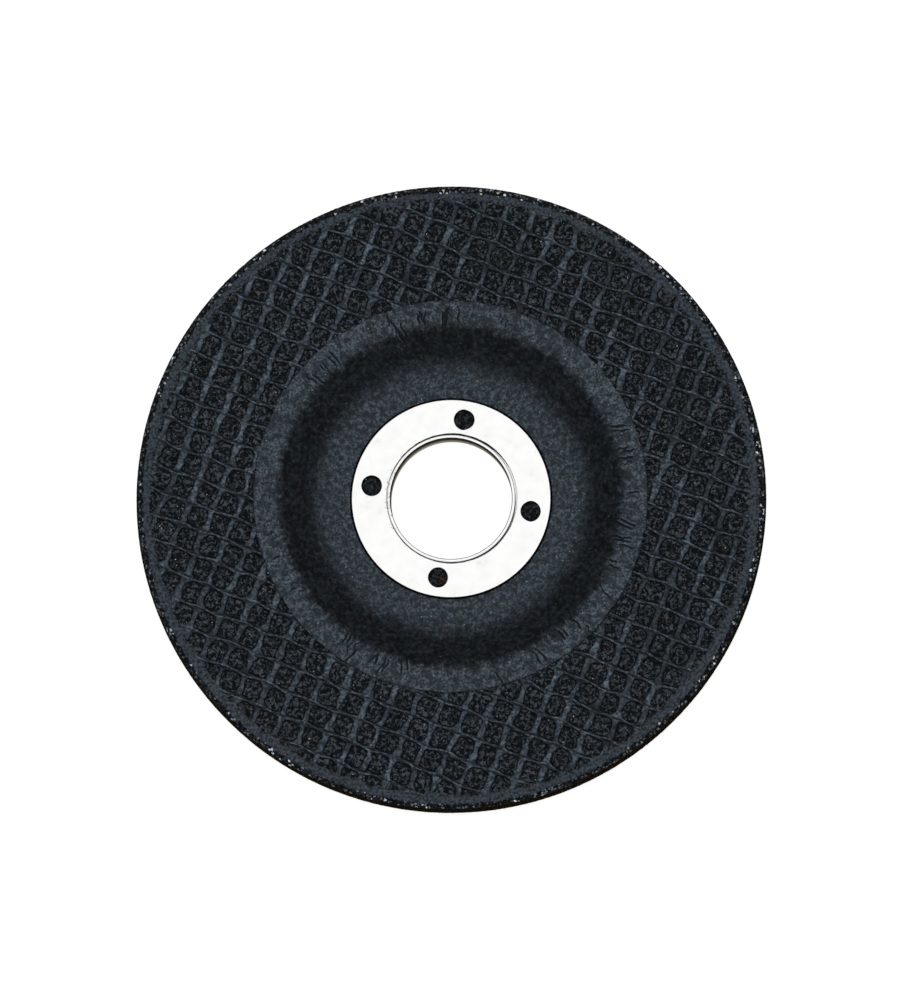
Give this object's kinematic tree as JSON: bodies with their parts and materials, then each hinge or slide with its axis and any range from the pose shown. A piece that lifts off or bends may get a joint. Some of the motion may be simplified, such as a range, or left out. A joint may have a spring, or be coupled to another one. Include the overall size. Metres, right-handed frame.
{
  "type": "depressed-centre grinding disc",
  "caption": "Round resin-bonded grinding disc with a sunken centre, woven glass mesh face, plain dark cover and a steel-lined bore.",
  "frame": {"origin": "on the bore's axis, in the plane that the hub's back face rests on", "axes": "+Z along the bore's axis, out of the hollow front of the disc; +X to the right in the picture"},
  "size_m": [0.115, 0.115, 0.0106],
  "materials": {
    "abrasive": "rough black grit in resin",
    "front_cloth": "resin-soaked glass cloth",
    "back_cloth": "resin-soaked glass cloth",
    "cover": "resin-soaked dark cover, wrinkled at the lip",
    "plated_steel": "bright plated",
    "sleeve_steel": "bright plated"
  },
  "bodies": {
    "root": {"abrasive_body": "abrasive", "front_mesh": "front_cloth", "back_mesh": "back_cloth", "centre_cover": "cover", "flange_ring": "plated_steel", "bore_sleeve": "sleeve_steel"}
  },
  "joints": []
}
